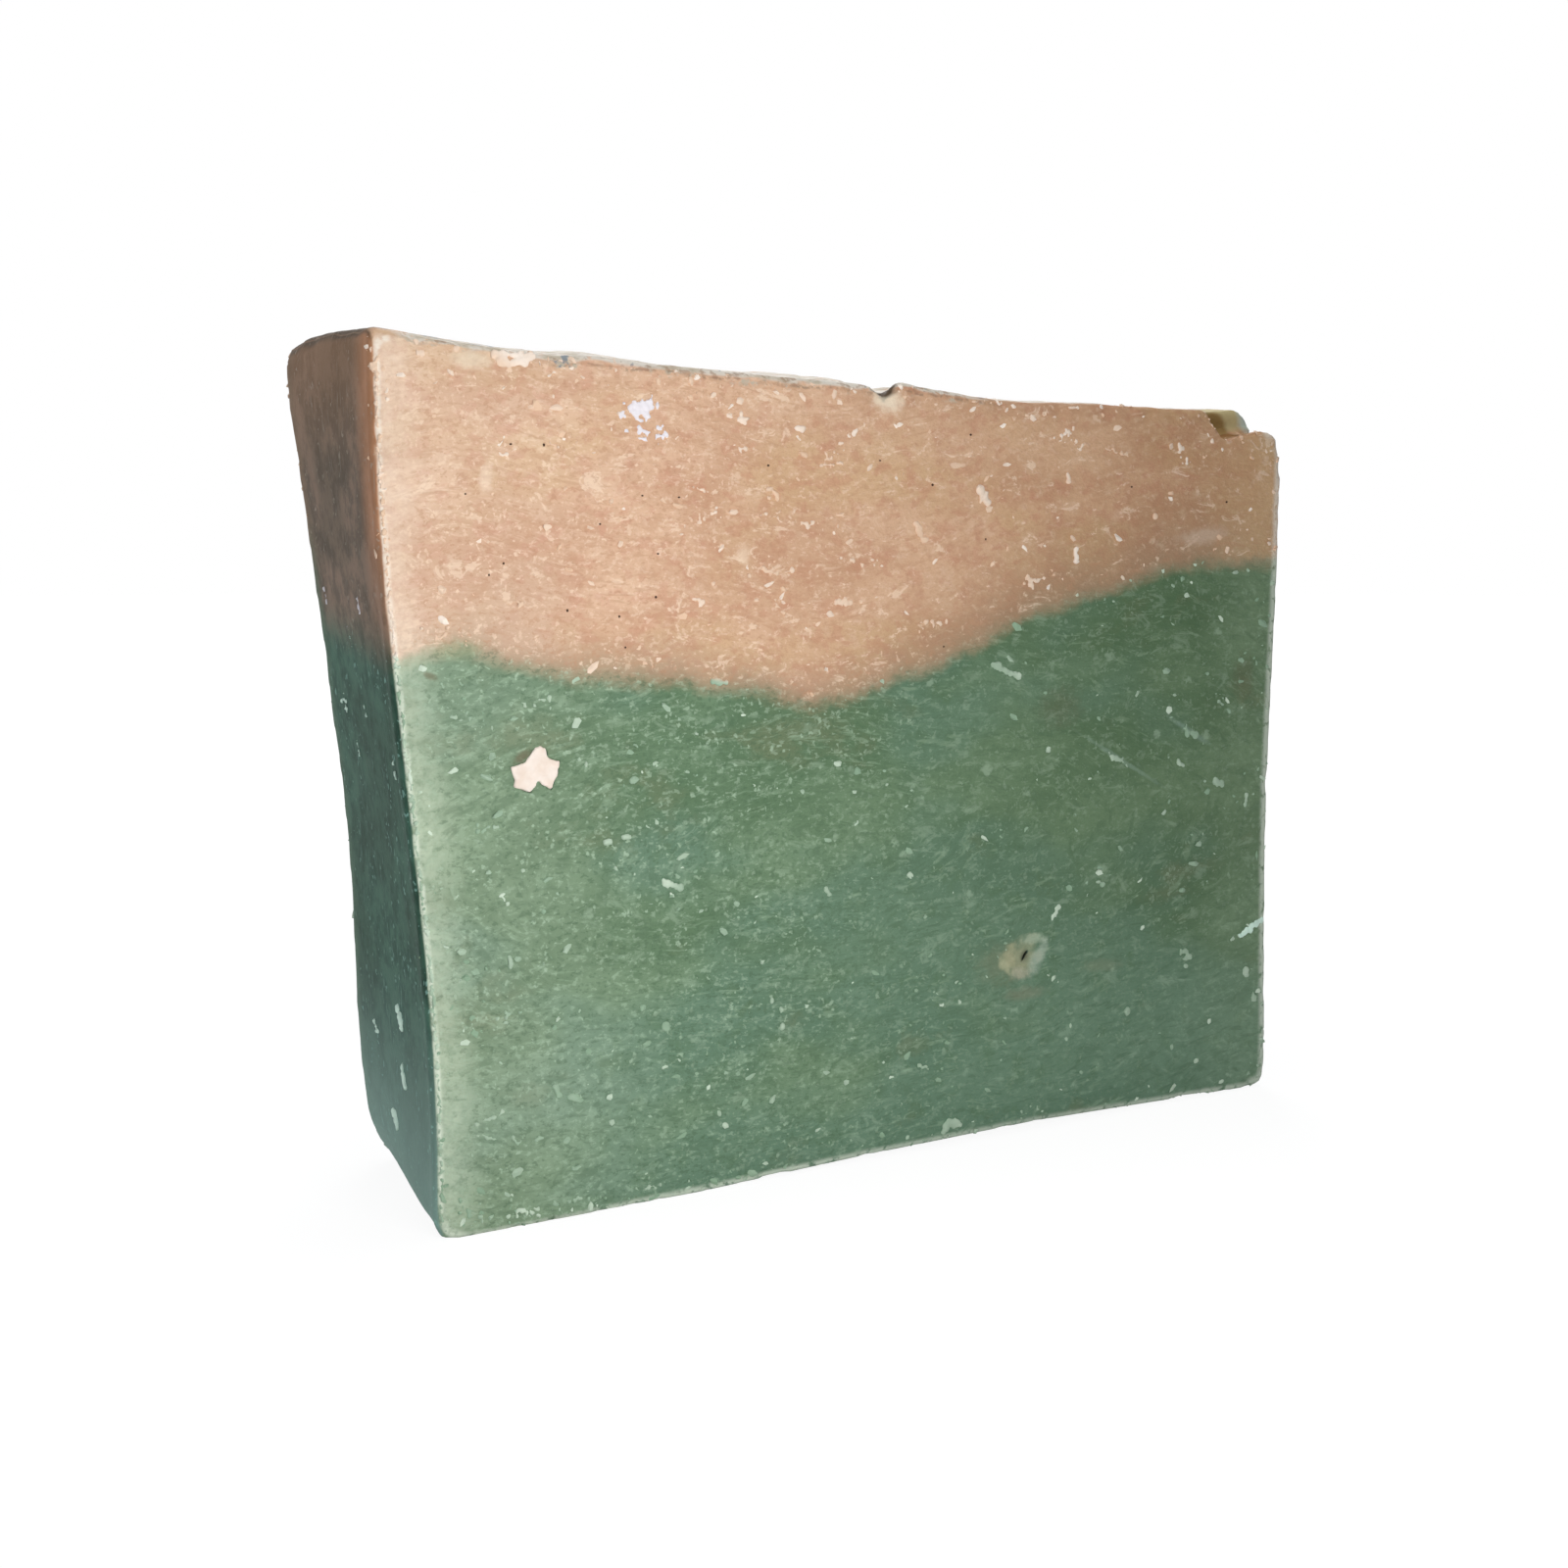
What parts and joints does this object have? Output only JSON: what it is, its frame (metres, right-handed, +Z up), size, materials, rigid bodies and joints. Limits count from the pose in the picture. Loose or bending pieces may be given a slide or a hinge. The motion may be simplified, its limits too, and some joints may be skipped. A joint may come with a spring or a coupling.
{
  "type": "bar of soap",
  "caption": "Hand-cut bar of two-colour soap, green below and peach above, worn edges, slightly flared at one end.",
  "frame": {"origin": "middle of the bar's bounding box on the face it stands on", "axes": "+X along the bar's length, +Y from the front cut face to the back cut face through its thickness, +Z up"},
  "size_m": [0.0918, 0.0234, 0.0708],
  "materials": {
    "green_soap": "waxy matt, cut face",
    "peach_soap": "waxy matt, cut face",
    "pale_soap": "waxy matt"
  },
  "bodies": {
    "root": {"green_layer": "green_soap", "peach_layer": "peach_soap", "pale_chip": "pale_soap"}
  },
  "joints": []
}
